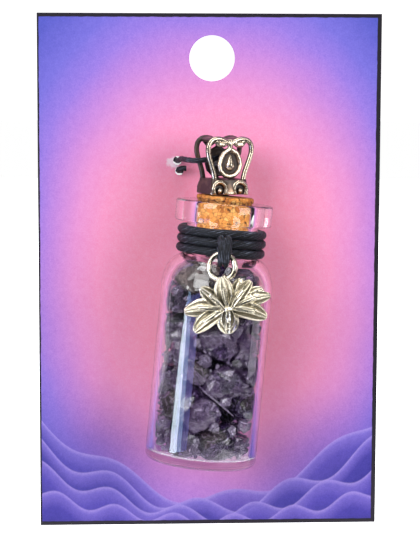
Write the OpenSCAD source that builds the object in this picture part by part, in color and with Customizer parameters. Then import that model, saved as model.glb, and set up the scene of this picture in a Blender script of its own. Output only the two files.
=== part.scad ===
// Bottle pendant on a display card: a corked glass vial of amethyst chips with a cast silver bail
// standing on its cork, a cord wound round its neck and a lotus charm on a jump ring.
// The origin is the centre of the card's hang hole, halfway through the card. +Z is up and the
// card's printed face looks along -Y. The pendant is drawn upright in its own frame, whose origin
// is the middle of the bottle's underside, and then leant and moved to its place on the card.

/* [Card] */
// Width of the card
card_w = 68; // [50:1:100]
// Height of the card
card_h = 102.8; // [96:0.1:130]
// Thickness of the card
card_t = 0.5; // [0.3:0.1:0.8]
// Diameter of the round hang hole
hang_hole_d = 9; // [6:0.5:12]
// Depth of the hang hole's centre below the card's top edge
hang_hole_drop = 8.8; // [7:0.1:14]
// Distance of the hang hole to the right of the card's centre line
hang_hole_off = 0.4; // [0:0.1:2]
// Diameter of the three small holes that the tie passes through
tie_hole_d = 1.7; // [1.5:0.1:2]

/* [Bottle] */
// Outside diameter of the body
bottle_d = 21.7; // [20:0.1:24]
// Height of the glass, from its underside to its mouth
bottle_h = 50.9; // [48:0.1:60]
// Thickness of the body's wall
bottle_wall = 1.1; // [0.8:0.1:1.4]
// Thickness of the bottom
bottle_base_t = 1.7; // [1.2:0.1:2.5]
// Radius of the edge round the bottom
bottle_edge_r = 1.2; // [0.8:0.1:1.8]
// Height of the round shoulder
shoulder_h = 6.4; // [5:0.1:8]
// Outside diameter of the neck
neck_d = 13.8; // [13.2:0.1:14.6]
// Height of the neck between the shoulder and the lip
neck_h = 6.4; // [6.2:0.1:8]
// Diameter of the thick lip
lip_d = 18.8; // [17.5:0.1:20]
// Height of the thick lip
lip_h = 4.1; // [3:0.1:5]
// Thickness of the neck's wall round its bore
neck_wall = 1.6; // [1.3:0.1:2]

/* [Cork] */
// Height of the cork above the mouth
cork_proud = 1.15; // [0.8:0.05:2]
// Depth of the cork in the bore
cork_depth = 6.6; // [6:0.1:8]
// How much the cork narrows towards its lower end, on the diameter
cork_taper = 0.6; // [0.2:0.1:1]

/* [Bail] */
// Width of the bail across its two lobes
bail_w = 10.5; // [9.5:0.1:11]
// Height of the bail above the cork
bail_h = 11.2; // [10.8:0.1:12]
// Depth of the bail from its front panel to its back panel
bail_d = 5.8; // [5.2:0.1:6.2]
// Width of the bail's base
bail_base_w = 8.3; // [7.6:0.1:8.8]
// Depth of the bail's base
bail_base_d = 6.4; // [5.6:0.1:6.8]
// Height of the bail's base
bail_base_h = 2.9; // [2.6:0.1:3.2]
// Diameter of the bail's cast strands
bail_strand_d = 1.05; // [0.9:0.05:1.15]
// Diameter of the peg that holds the bail in the cork
peg_d = 1.2; // [1:0.1:1.6]
// Length of the peg in the cork
peg_l = 4.5; // [3:0.1:5.5]

/* [Cords] */
// Thickness of the cord wound round the neck
wrap_cord_d = 1.75; // [1.6:0.05:1.85]
// Number of turns round the neck
wrap_turns = 3; // [2:1:3]
// Thickness of the two strands that carry the jump ring
loop_cord_d = 1.4; // [1.2:0.05:1.45]
// Thickness of the cord that ties the pendant to the card
tie_cord_d = 1.1; // [1:0.05:1.2]

/* [Jump ring and charm] */
// Diameter of the jump ring at the middle of its wire
ring_d = 5; // [5:0.1:5.4]
// Thickness of the jump ring's wire
ring_wire = 1; // [0.8:0.05:1.1]
// Width of the lotus charm from petal tip to petal tip
charm_w = 16; // [14:0.1:18]
// Thickness of the lotus charm at its middle
charm_t = 2.3; // [2:0.1:2.6]

/* [Chips] */
// Longest radius that a stone chip may have
chip_r = 4.3; // [3.5:0.1:4.8]
// Gap round each stone chip
chip_gap = 0.16; // [0.1:0.01:0.3]
// Longest radius that a small crumb of stone may have
crumb_r = 1.8; // [1.2:0.1:2.2]

/* [Place on the card] */
// Depth of the bottle's mouth below the hang hole
mouth_drop = 27.5; // [27:0.1:30]
// Distance of the bottle's mouth to the right of the hang hole
mouth_x = 2.05; // [1.5:0.05:2.5]
// Lean of the pendant to the right, in degrees
lean_right = 5.4; // [4:0.1:7]
// Lean of the pendant back towards the card, in degrees
lean_back = 2; // [1:0.1:3]
// Gap between pieces that lie against each other
gap = 0.2; // [0.15:0.05:0.3]

/* [Hidden] */
// Body and neck of the bottle
body_r = bottle_d / 2;
neck_r = neck_d / 2;
bore_r = neck_r - neck_wall;
inner_r = body_r - bottle_wall;
lip_z = bottle_h - lip_h;
neck_z = lip_z - neck_h;
body_z = neck_z - shoulder_h;
inner_shoulder_z = body_z - 0.4;
shoulder_wall = 1.2;
// Height of the shoulder's inside, which passes shoulder_wall below the corner under the neck
inner_shoulder_h = (neck_z - shoulder_wall - inner_shoulder_z)
    / sqrt(1 - pow(neck_wall / (inner_r - bore_r), 2));
lip_edge_r = 0.35;
arc_steps = 8;

// Distance that the pendant's axis keeps from the card where the shoulder touches it
axis_off = card_t / 2 + gap + body_r;
mouth_y = -axis_off + (bottle_h - body_z) * sin(lean_back);

// Cork
cork_r = bore_r - 0.1;
cork_top_z = bottle_h + cork_proud;
cork_swell = 0.35;
peg_clearance = 0.1;

// Bail, in a frame of its own whose origin is the middle of the underside of its base
bail_turn = 25;
bail_lean = -4;
bail_off = -0.65;
bail_gap = 0.42;
strand_r = bail_strand_d / 2;
arch_u = 0.27 * bail_base_w;
arch_r = 1.4;
panel_v = bail_d / 2 - strand_r;
drop_r = 2.3;
drop_z = bail_base_h + drop_r + 0.6;
drop_tip_z = bail_h - 2.4;

// Cord round the neck
wrap_r = neck_r + wrap_cord_d / 2 + 0.05;
wrap_pitch = 1.03 * wrap_cord_d;
wrap_mid_z = neck_z + neck_h / 2 - 0.25;
wrap_out = wrap_r + wrap_cord_d / 2;
wrap_low_z = wrap_mid_z - wrap_pitch * (wrap_turns - 1) / 2;

// Jump ring and charm, hung in front of the neck on the two strands of the loop; the ring clears
// the strands behind it, the charm clears the body, and each keeps its place beside the other
charm_step = 0.8;
charm_gap = 0.3;
strand_gap = 0.15;
ring_gap = 0.1;
ring_below = 1.15;
charm_back = max(body_r + charm_gap, wrap_out + strand_gap + loop_cord_d + ring_gap + charm_step);
ring_back = charm_back - charm_step;
ring_z = neck_z - ring_below;
ring_y = -(ring_back + ring_wire / 2 + 0.5 * ring_d * sin(14));
ring_lean = 7.5;
ring_turn = 12;
ring_turns = 1.2;
ring_pitch = ring_wire + strand_gap;

// Lotus charm: its origin is its middle, on its flat back, and its eye hangs on the ring's lowest part
charm_reach = charm_w / 2;
charm_roll = -14.4;
eye_r = 1;
eye_wire = 0.6;
eye_side = 0.3;
eye_front = charm_step + ring_wire * 0.3;
eye_up = 0.68 * charm_reach;
charm_x = 1.6;
charm_y = -charm_back;
charm_z = ring_z - ring_d / 2 * cos(ring_lean) - eye_up * cos(charm_roll);
rib_r = 0.36;
// How far out from its root each petal starts, as a share of its length
petal_start = 0.04;

// Petals, the rearmost first: angle from the charm's upright, length and width as shares of the
// charm's half width, height as a share of its thickness, and as shares of the half width how far
// the tip bends forward, how far the middle bows to the side and how far the root lies to the right
PETALS = [
    // angle, length, width, height, bend, bow, root
    [29, 0.74, 0.36, 0.52, 0.01, 0, 0.07],
    [67, 0.86, 0.36, 0.52, 0.02, -0.03, 0.1],
    [-84, 0.94, 0.42, 0.62, 0.04, 0.07, -0.08],
    [81, 0.98, 0.38, 0.62, 0.04, -0.06, 0.08],
    [-118, 0.88, 0.4, 0.7, 0.045, 0.06, -0.08],
    [113, 0.88, 0.42, 0.7, 0.045, -0.07, 0.08],
    [-173, 0.6, 0.5, 0.66, 0.01, 0, 0],
    [-39, 0.76, 0.36, 0.8, 0.025, 0.03, -0.08],
    [45, 0.8, 0.36, 0.8, 0.025, -0.03, 0.08],
    [-3, 0.8, 0.44, 0.6, 0.35, 0, 0],
    [-173, 0.48, 0.38, 0.92, 0.045, 0, 0],
];
PETAL_STEPS = 8;

// Stone chips: six rings of stones and a stone inside each ring, one above another
chips_per_layer = 7;
full_layers = 5;
top_layer_chips = 5;
chip_count = full_layers * chips_per_layer + top_layer_chips;
layer_h = (neck_z - 1.4 - bottle_base_t) / (full_layers + 1);
crumbs_per_layer = 6;
crumb_count = full_layers * crumbs_per_layer;
chip_rings = 4;
chip_sides = 8;
crumb_rings = 2;
crumb_sides = 5;
CHIP_SEED = 4127;
// Each layer is turned by layer_turn past the one below, and the top one is turned back a little,
// so that one of its stones lies at the front left
layer_turn = 31;
top_turn_back = 30;

// Route of the tie, in mm in the card's frame: from its knot behind the card forward to the bail,
// in at the bail's left end and out through the window beside the back drop, back through the card
// and out again to its cut end
TIE_ROUTE = [
    [-8.8, 1.5, -18.9], [-7.9, 1.4, -19.6], [-7.05, 0.8, -20.1], [-6.7, -0.6, -20.2],
    [-6.5, -2.4, -19.9], [-6.2, -5, -19.5], [-5.8, -8, -19.4], [-4.9, -10.6, -19.4],
    [-3.2, -12.2, -19.4], [-1.2, -11.9, -19.2], [1, -10.9, -18.8], [2.9, -9.1, -18.4],
    [3.4, -7.3, -18.1], [3.5, -5, -18.1], [3.5, -2.4, -18.2], [3.5, -0.2, -18.3],
    [2.7, 1, -18.7], [0.6, 1.15, -19.8], [-2.4, 1.1, -21.4],
    [-4.8, 1.25, -22.2], [-6.2, 0.4, -22.25], [-6.7, -1.2, -22], [-6.1, -2.1, -21.6],
    [-5.1, -2.2, -21.6],
];
TIE_STEPS = 3;
tie_knot_r = 1.1;
tie_left_hole = [-6.8, -20.15];
tie_tail_hole = [-6.4, -22.2];
tie_right_hole = [3.5, -18.3];

STONE_NODES = [for (i = [0 : chip_count - 1]) chip_name(i)];
METAL_NODES = ["bail", "jump_ring", "lotus_charm"];
CORD_NODES = ["neck_wrap", "charm_loop", "card_tie"];

function chip_name(i) = str("chip_", i < 9 ? "0" : "", i + 1);

function unit(v) = v / norm(v);

// Points of a quarter or other stretch of an ellipse
function arc(middle, rx, rz, from, to, steps) =
    [for (i = [0 : steps]) let (a = from + (to - from) * i / steps)
        [middle[0] + rx * cos(a), middle[1] + rz * sin(a)]];

// A smooth curve through a list of points
function between(p, i, t) =
    let (
        a = p[max(i - 1, 0)],
        b = p[i],
        c = p[i + 1],
        d = p[min(i + 2, len(p) - 1)]
    )
    0.5 * (2 * b + (c - a) * t + (2 * a - 5 * b + 4 * c - d) * t * t + (3 * b - a - 3 * c + d) * t * t * t);

function smooth(p, steps) =
    concat([for (i = [0 : len(p) - 2]) for (k = [0 : steps - 1]) between(p, i, k / steps)], [p[len(p) - 1]]);

// A tube of changing radius that follows a path, its cross-section carried along without a twist
function heading(p, i) = unit(p[min(i + 1, len(p) - 1)] - p[max(i - 1, 0)]);

function sideways(p) =
    let (h = heading(p, 0))
    unit(cross(h, abs(h[0]) < 0.8 ? [1, 0, 0] : [0, 1, 0]));

function carried(p, i, before) = let (h = heading(p, i)) unit(before - (before * h) * h);

function sides_along(p, i = 0, before = undef) =
    i == len(p) ? [] :
    let (now = i == 0 ? sideways(p) : carried(p, i, before))
    concat([now], sides_along(p, i + 1, now));

module tube(path, radii, sides) {
    across = sides_along(path);
    points = [for (i = [0 : len(path) - 1])
        let (n = across[i], b = cross(heading(path, i), n))
        for (k = [0 : sides - 1])
            path[i] + radii[i] * (cos(360 * k / sides) * n + sin(360 * k / sides) * b)];
    stack(points, len(path), sides);
}

// A closed solid from rings of points, one ring after another, with a flat face at each end
module stack(points, rings, sides) {
    walls = [for (i = [0 : rings - 2]) for (k = [0 : sides - 1])
        let (a = i * sides + k, b = i * sides + (k + 1) % sides)
        each [[a, a + sides, b], [b, a + sides, b + sides]]];
    first = [for (k = [0 : sides - 1]) k];
    last = [for (k = [sides - 1 : -1 : 0]) (rings - 1) * sides + k];
    polyhedron(points, concat(walls, [first, last]));
}

function even(path, r) = [for (p = path) r];

// Places a part that is drawn in the pendant's own frame
module on_card() {
    translate([mouth_x, mouth_y, -mouth_drop])
        rotate([-lean_back, lean_right, 0])
        translate([0, 0, -bottle_h])
        children();
}

module card() {
    color([0.84, 0.55, 0.8])
        difference() {
            translate([-card_w / 2 - hang_hole_off, -card_t / 2, hang_hole_drop - card_h])
                cube([card_w, card_t, card_h]);
            card_hole([0, 0], hang_hole_d);
            for (place = [tie_left_hole, tie_tail_hole, tie_right_hole])
                card_hole(place, tie_hole_d);
        }
}

module card_hole(place, d) {
    translate([place[0], card_t, place[1]])
        rotate([90, 0, 0])
        cylinder(d = d, h = 2 * card_t, $fn = 64);
}

module bottle() {
    outside = concat(
        [[0, 0]],
        arc([body_r - bottle_edge_r, bottle_edge_r], bottle_edge_r, bottle_edge_r, -90, 0, 4),
        arc([neck_r, body_z], body_r - neck_r, shoulder_h, 0, 90, arc_steps),
        [[neck_r, lip_z]],
        arc([lip_d / 2 - lip_edge_r, lip_z + lip_edge_r], lip_edge_r, lip_edge_r, -90, 0, 2),
        arc([lip_d / 2 - lip_edge_r, bottle_h - lip_edge_r], lip_edge_r, lip_edge_r, 0, 90, 2)
    );
    inside = concat(
        [[bore_r, bottle_h]],
        arc([bore_r, inner_shoulder_z], inner_r - bore_r, inner_shoulder_h, 90, 0, arc_steps),
        arc([inner_r - bottle_edge_r, bottle_base_t + bottle_edge_r], bottle_edge_r, bottle_edge_r, 0, -90, 4),
        [[0, bottle_base_t]]
    );
    color([0.86, 0.93, 0.95, 0.35])
        on_card()
        rotate_extrude($fn = 96)
        polygon(concat(outside, inside));
}

module cork() {
    low_z = bottle_h - cork_depth;
    low_r = cork_r - cork_taper / 2;
    hole_r = peg_d / 2 + peg_clearance;
    hole_z = cork_top_z - peg_l - 2 * peg_clearance;
    profile = [
        [0, low_z], [low_r - 0.4, low_z], [low_r, low_z + 0.4],
        [cork_r, bottle_h + 0.05], [cork_r + cork_swell, bottle_h + 0.35],
        [cork_r + cork_swell, cork_top_z - 0.5], [cork_r, cork_top_z],
        [hole_r, cork_top_z], [hole_r, hole_z], [0, hole_z],
    ];
    color([0.85, 0.6, 0.32])
        on_card()
        rotate_extrude($fn = 96)
        polygon(profile);
}

// The bail's frame, on the cork
module on_cork() {
    on_card()
        translate([bail_off, 0, cork_top_z + bail_gap])
        rotate([0, bail_lean, bail_turn])
        children();
}

module bail() {
    color([0.68, 0.64, 0.58]) {
        on_cork() {
            bail_base();
            bail_panel();
            mirror([0, 1, 0])
                bail_panel();
            bail_crown();
        }
        on_card()
            translate([0, 0, cork_top_z - peg_l])
            cylinder(d = peg_d, h = peg_l + bail_gap + 0.6, $fn = 16);
    }
}

module bail_base() {
    difference() {
        hull() {
            bail_slab(bail_base_w, bail_base_d, 0);
            bail_slab(bail_base_w - 0.8, bail_base_d - 0.7, bail_base_h - 0.6);
        }
        for (side = [1, -1], u = [-1, 1])
            translate([u * arch_u, side * bail_base_d / 2, 0.9])
                rotate([90, 0, 0])
                cylinder(r = arch_r - 0.3, h = 1.3, center = true, $fn = 12);
    }
    for (side = [1, -1], u = [-1, 1]) {
        arch = [for (a = [-36 : 36 : 216])
            [u * arch_u + arch_r * cos(a), side * (bail_base_d / 2 - 0.3), 1.1 + arch_r * sin(a)]];
        tube(arch, even(arch, 0.45), 6);
        translate([u * arch_u, side * (bail_base_d / 2 - 0.4), 0.75])
            sphere(r = 0.6, $fn = 10);
    }
}

module bail_slab(w, d, z) {
    r = 0.5;
    for (x = [-1, 1], y = [-1, 1])
        translate([x * (w / 2 - r), y * (d / 2 - r), z])
            cylinder(r = r, h = 0.6, $fn = 12);
}

// Outline of one side of a panel, from the base up round its lobe to the dip between the lobes
function lobe(side) =
    let (w = bail_w / 2 - strand_r, h = bail_h - strand_r)
    smooth([for (p = [[0.64, 0.22], [0.72, 0.4], [0.87, 0.58], [0.99, 0.75], [0.97, 0.9],
                      [0.78, 0.985], [0.5, 1], [0.24, 0.965], [0, 0.9]])
        [side * p[0] * w, -panel_v, p[1] * h]], 2);

module bail_panel() {
    for (side = [-1, 1]) {
        path = lobe(side);
        tube(path, even(path, strand_r), 8);
        // small scroll under the lobe
        scroll = [[side * 3.3, -panel_v, bail_h - 1], [side * 2.5, -panel_v - 0.15, bail_h - 1.55],
                  [side * 1.4, -panel_v - 0.15, bail_h - 1.6], [side * 0.4, -panel_v, bail_h - 1]];
        tube(scroll, [0.35, 0.6, 0.55, 0.3], 6);
    }
    teardrop();
}

// Rim of the drop, its sunk floor and the raised stone shape in it
module teardrop() {
    v = -panel_v - 0.1;
    tip = [0, v, drop_tip_z];
    for (side = [-1, 1]) {
        bowl = [for (a = [30 : -31 : -100]) [side * drop_r * cos(a), v, drop_z + drop_r * sin(a)]];
        rim = concat([tip, [side * drop_r * 0.62, v, drop_z + drop_r * 0.95]], bowl);
        tube(rim, even(rim, strand_r), 6);
    }
    hull() {
        translate([0, v + 0.2, drop_z])
            rotate([90, 0, 0])
            cylinder(r = drop_r, h = 0.3, center = true, $fn = 16);
        translate([0, v + 0.2, drop_tip_z - 0.3])
            sphere(r = 0.15, $fn = 6);
    }
    hull() {
        translate([0, v + 0.05, drop_z - 0.2])
            sphere(r = 1, $fn = 12);
        translate([0, v - 0.1, drop_z + 1.5])
            sphere(r = 0.3, $fn = 8);
    }
    post = [tip, [0, -panel_v, bail_h - 0.6]];
    tube(post, even(post, strand_r), 6);
}

// The lobes' tops run from the front panel to the back panel as one bent sheet
module bail_crown() {
    left = [for (i = [9 : len(lobe(-1)) - 1]) lobe(-1)[i]];
    top = concat(left, [for (i = [len(left) - 2 : -1 : 0]) [-left[i][0], left[i][1], left[i][2]]]);
    under = [for (i = [len(top) - 1 : -1 : 0]) [0.9 * top[i][0], top[i][2] - 0.25]];
    rotate([90, 0, 0])
        linear_extrude(height = 2 * panel_v, center = true)
        polygon(concat([for (p = top) [p[0], p[2] + 0.25]], under));
}

module neck_wrap() {
    color([0.07, 0.07, 0.09])
        on_card()
        rotate_extrude($fn = 96)
        union() {
            for (i = [0 : wrap_turns - 1])
                translate([wrap_r, wrap_low_z + i * wrap_pitch])
                    circle(d = wrap_cord_d, $fn = 32);
            translate([neck_r + 0.05, wrap_low_z - wrap_cord_d / 4])
                square([wrap_cord_d / 2, (wrap_turns - 1) * wrap_pitch + wrap_cord_d / 2]);
        }
}

// Each strand leaves the wound cord, passes down in front of the ring, through it and back up
module charm_loop() {
    wrap_face = -(wrap_out + 0.22);
    behind = -(wrap_out + strand_gap + loop_cord_d / 2);
    front = -(ring_back + ring_wire + 0.25 + loop_cord_d / 2);
    side_view = [
        [wrap_face, wrap_low_z + 1.5 * wrap_pitch], [wrap_face - 0.8, wrap_low_z + 1.55 * wrap_pitch],
        [(wrap_face + front) / 2, wrap_low_z + 1.35 * wrap_pitch],
        [front + 0.25, neck_z + 2], [front, neck_z + 0.9], [front, neck_z - 0.3],
        [(front + behind) / 2, ring_z + 0.3], [behind - 0.15, neck_z - 0.1], [behind, neck_z + 0.9],
        [behind + 0.2, wrap_low_z + 0.35 * wrap_pitch], [wrap_face, wrap_low_z + 0.5 * wrap_pitch],
    ];
    // how far each place is pinched by the ring
    pinch = [1, 1, 1, 0.95, 0.85, 0.76, 0.72, 0.76, 0.85, 0.95, 1];
    r = loop_cord_d / 2;
    color([0.08, 0.08, 0.1])
        on_card()
        for (side = [-1, 1]) {
            path = smooth([for (i = [0 : len(pinch) - 1])
                [side * (r * pinch[i] + 0.05), side_view[i][0], side_view[i][1]]], 2);
            tube(path, [for (p = path) abs(p[0]) - 0.05], 8);
        }
}

module jump_ring() {
    steps = 34;
    path = [for (i = [0 : steps])
        let (t = i / steps - 0.5, a = 180 - 360 * ring_turns * t)
        [ring_d / 2 * cos(a), ring_pitch * ring_turns * t, ring_d / 2 * sin(a)]];
    color([0.8, 0.78, 0.72])
        on_card()
        translate([-0.2, ring_y, ring_z])
        rotate([-ring_lean, 0, -ring_turn])
        tube(path, even(path, ring_wire / 2), 6);
}

module lotus_charm() {
    color([0.78, 0.75, 0.68])
        on_card()
        translate([charm_x, charm_y, charm_z])
        rotate([0, charm_roll, 0]) {
            for (p = PETALS)
                translate([p[6] * charm_reach, 0, 0])
                rotate([0, p[0], 0])
                petal(p[1] * charm_reach, p[2] * charm_reach, p[3] * charm_t, p[4] * charm_reach, p[5]);
            translate([0, -charm_t * 0.35, 0])
                scale([1.2, 0.9, 0.6])
                sphere(r = charm_t * 0.5, $fn = 8);
            charm_eye();
        }
}

// A leaf shape with a blunt tip, raised ribs along it, hollows between them and a midrib
module petal(length, width, height, bend, bow) {
    function half(s) = width / 2 * (0.3 * pow(1 - s, 2) + pow(sin(176 * pow(s, 1.15)), 0.5));
    function lift(s) = bend * s * s;
    function aside(s) = bow * length * sin(180 * s);
    section = [[-1, 0], [-1, 0.4], [-0.78, 0.7], [-0.52, 0.5], [-0.27, 1], [0, 0.75],
               [0.27, 1], [0.52, 0.5], [0.78, 0.7], [1, 0.4], [1, 0]];
    points = [for (i = [0 : PETAL_STEPS])
        let (
            s = petal_start + (1 - petal_start) * (1 - pow(1 - i / PETAL_STEPS, 1.5)),
            w = half(s),
            h = height * (1 - 0.5 * s * s)
        )
        for (c = section) [aside(s) + c[0] * w, -lift(s) - c[1] * h, s * length]];
    stack(points, PETAL_STEPS + 1, len(section));
    hull()
        for (s = [0.12, 0.62])
            translate([aside(s), -lift(s) - height * 0.72, length * s])
            sphere(r = rib_r * (1 - 0.556 * s), $fn = 6);
}

// Eye behind the top petal, with its hole across the charm
module charm_eye() {
    turn = [for (a = [0 : 22.5 : 360]) [eye_side, -eye_front + eye_r * cos(a), eye_up + eye_r * sin(a)]];
    tube(turn, even(turn, eye_wire / 2), 6);
}

// A number from 0 to 1 that depends only on the stone and on what it is for
function draw(i, use) = rands(0, 1, 1, CHIP_SEED + 97 * i + 13 * use)[0];

// Middle and longest radius of a stone chip
function chip_place(i) =
    let (
        layer = min(floor(i / chips_per_layer), full_layers),
        slot = i - layer * chips_per_layer,
        in_layer = layer == full_layers ? top_layer_chips : chips_per_layer,
        inner = slot == in_layer - 1,
        angle = 360 * slot / (in_layer - 1) + layer_turn * layer + 34 * (draw(i, 1) - 0.5)
            - (layer == full_layers ? top_turn_back : 0),
        out = layer == full_layers ? inner_r * 0.57 : inner_r * 0.66,
        r = inner ? 0.9 * draw(i, 2) : out + 0.7 * (draw(i, 2) - 0.5),
        step = inner ? 0 : (slot % 2 - 0.5) * layer_h * 0.5,
        z = bottle_base_t + layer_h * (layer + 0.5) + step + (draw(i, 3) - 0.5) * 2
    )
    [r * cos(angle), r * sin(angle), z, chip_r * (0.78 + 0.3 * draw(i, 4))];

function crumb_place(i) =
    let (
        layer = floor(i / crumbs_per_layer),
        angle = 360 * (i + 0.5) / crumbs_per_layer + layer_turn * layer + 24 * (draw(i, 5) - 0.5),
        z = bottle_base_t + layer_h * (layer + 1) + (draw(i, 6) - 0.5) * 1.4,
        r = inner_r - chip_gap - crumb_r * 0.6
    )
    [r * cos(angle), r * sin(angle), z, crumb_r * (0.7 + 0.3 * draw(i, 7))];

CHIPS = [for (i = [0 : chip_count - 1]) chip_place(i)];
CRUMBS = [for (i = [0 : crumb_count - 1]) crumb_place(i)];
STONES = concat(CHIPS, CRUMBS);

// How far a line from p along d runs to a cone whose radius is k at height 0 and shrinks by m
// for each mm of height; a cone with m = 0 is a cylinder
function to_cone(p, d, k, m) =
    let (
        left = k - m * p[2],
        a = d[0] * d[0] + d[1] * d[1] - m * m * d[2] * d[2],
        b = p[0] * d[0] + p[1] * d[1] + m * d[2] * left,
        c = p[0] * p[0] + p[1] * p[1] - left * left,
        root = b * b - a * c
    )
    root < 0 || b + sqrt(root) <= 0 ? 1000 : -c / (b + sqrt(root));

// Tangent cones to the inside of the shoulder
function shoulder_cone(tilt) =
    let (
        hold = bore_r * cos(tilt) + inner_shoulder_z * sin(tilt)
             + norm([(inner_r - bore_r) * cos(tilt), inner_shoulder_h * sin(tilt)]) - 0.4
    )
    [hold / cos(tilt), tan(tilt)];

GLASS = concat([[inner_r - chip_gap, 0]], [for (tilt = [20, 40, 60, 76]) shoulder_cone(tilt)]);

function to_flat(d, n, off) = d * n <= 0.001 ? 1000 : off / (d * n);

// Distance from the middle p of a stone to its face along d: the nearest of the glass, the floor,
// the planes that part it from its neighbours and its own random faces, with the corners softened;
// a plane divides the way between two stones by their sizes
function reach_of(i, p, d, faces) =
    let (
        walls = [for (g = GLASS) to_cone(p, d, g[0], g[1])],
        floor_way = to_flat(d, [0, 0, -1], p[2] - bottle_base_t - chip_gap),
        others = [for (j = [0 : len(STONES) - 1]) if (j != i)
            let (q = STONES[j], way = [q[0], q[1], q[2]] - p, far = norm(way))
            if (far < 12)
                to_flat(d, way / far, far * STONES[i][3] / (STONES[i][3] + q[3]) - chip_gap / 2)],
        own = [for (f = faces) to_flat(d, [f[0], f[1], f[2]], f[3])],
        near = concat(walls, [floor_way, STONES[i][3]], others, own),
        total = [for (t = near) pow(max(t, 0.2), -14)]
    )
    pow(sum(total), -1 / 14);

function sum(v, i = 0) = i == len(v) ? 0 : v[i] + sum(v, i + 1);

// Evenly spread directions: a pole, rings that are each turned by half a step, and a pole
function directions(rings, sides, turn) = concat(
    [[0, 0, -1]],
    [for (j = [1 : rings]) for (k = [0 : sides - 1])
        let (lat = -90 + 180 * j / (rings + 1), lon = turn + 360 * (k + j / 2) / sides)
        [cos(lat) * cos(lon), cos(lat) * sin(lon), sin(lat)]],
    [[0, 0, 1]]
);

function ball_faces(rings, sides, base = 0) =
    let (top = 1 + rings * sides)
    concat(
        [for (k = [0 : sides - 1]) [0, 1 + k, 1 + (k + 1) % sides]],
        [for (j = [0 : rings - 2]) for (k = [0 : sides - 1])
            let (a = 1 + j * sides + k, b = 1 + j * sides + (k + 1) % sides)
            each [[a, a + sides, b], [b, a + sides, b + sides]]],
        [for (k = [0 : sides - 1])
            [top, 1 + (rings - 1) * sides + (k + 1) % sides, 1 + (rings - 1) * sides + k]]
    );

function stone_points(i, rings, sides) =
    let (
        p = [STONES[i][0], STONES[i][1], STONES[i][2]],
        faces = [for (f = [0 : 6])
            let (lat = asin(2 * draw(i, 10 + f) - 1), lon = 360 * draw(i, 20 + f))
            [cos(lat) * cos(lon), cos(lat) * sin(lon), sin(lat), STONES[i][3] * (0.62 + 0.4 * draw(i, 30 + f))]]
    )
    [for (d = directions(rings, sides, 360 * draw(i, 8))) p + d * reach_of(i, p, d, faces)];

module chip(i) {
    pale = draw(i, 9);
    color([0.3 + 0.35 * pale, 0.18 + 0.4 * pale, 0.42 + 0.35 * pale])
        on_card()
        polyhedron(stone_points(i, chip_rings, chip_sides), ball_faces(chip_rings, chip_sides));
}

module crumbs() {
    each_points = 2 + crumb_rings * crumb_sides;
    points = [for (i = [0 : crumb_count - 1]) each stone_points(chip_count + i, crumb_rings, crumb_sides)];
    faces = [for (i = [0 : crumb_count - 1]) for (f = ball_faces(crumb_rings, crumb_sides))
        [for (v = f) v + i * each_points]];
    color([0.6, 0.5, 0.7])
        on_card()
        polyhedron(points, faces);
}

module card_tie() {
    path = smooth(TIE_ROUTE, TIE_STEPS);
    r = tie_cord_d / 2;
    radii = [for (i = [0 : len(path) - 1]) i < 4 ? (i == 0 ? r : tie_knot_r) : r];
    color([0.06, 0.06, 0.08])
        tube(path, radii, 8);
}

card();
bottle();
cork();
bail();
jump_ring();
lotus_charm();
neck_wrap();
charm_loop();
card_tie();
crumbs();
for (i = [0 : chip_count - 1])
    chip(i);
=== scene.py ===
import math

import bmesh
import bpy
import numpy as np
from mathutils import Matrix, Vector, noise
from mathutils.bvhtree import BVHTree


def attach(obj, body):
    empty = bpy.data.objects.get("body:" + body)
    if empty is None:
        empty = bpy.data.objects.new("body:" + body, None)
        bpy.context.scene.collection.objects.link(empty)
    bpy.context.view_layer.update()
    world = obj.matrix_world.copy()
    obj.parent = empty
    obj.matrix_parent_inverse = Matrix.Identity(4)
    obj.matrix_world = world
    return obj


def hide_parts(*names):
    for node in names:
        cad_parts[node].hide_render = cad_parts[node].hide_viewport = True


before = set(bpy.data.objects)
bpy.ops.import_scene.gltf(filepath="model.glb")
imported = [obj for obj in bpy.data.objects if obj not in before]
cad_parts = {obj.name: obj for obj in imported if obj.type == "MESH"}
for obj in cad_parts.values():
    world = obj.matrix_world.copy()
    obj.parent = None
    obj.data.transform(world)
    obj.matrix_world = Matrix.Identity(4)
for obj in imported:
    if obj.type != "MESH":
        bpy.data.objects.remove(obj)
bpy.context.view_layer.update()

MM = 0.001

# The pendant on its card, in mm and degrees. The row's frame has its origin in the hang hole.
CARD_LEFT = -34.4
CARD_RIGHT = 33.6
CARD_TOP = 8.8
CARD_BOTTOM = -94.0
# The printed glow has a middle, a reach and a squareness. The border line lies this far inside the card on
# the left, right, top and bottom. The torn paper round the tie's left hole has a middle and half a size
GLOW_X = 0.7
GLOW_Z = -43.0
GLOW_REACH_X = 35.0
GLOW_REACH_Z = 48.0
GLOW_SQUARENESS = 2.3
BORDER = (0.35, 0.85, 0.75, 0.8)
TORN_X = -7.5
TORN_Z = -20.5
TORN_HALF_W = 1.5
TORN_HALF_H = 1.3
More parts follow.
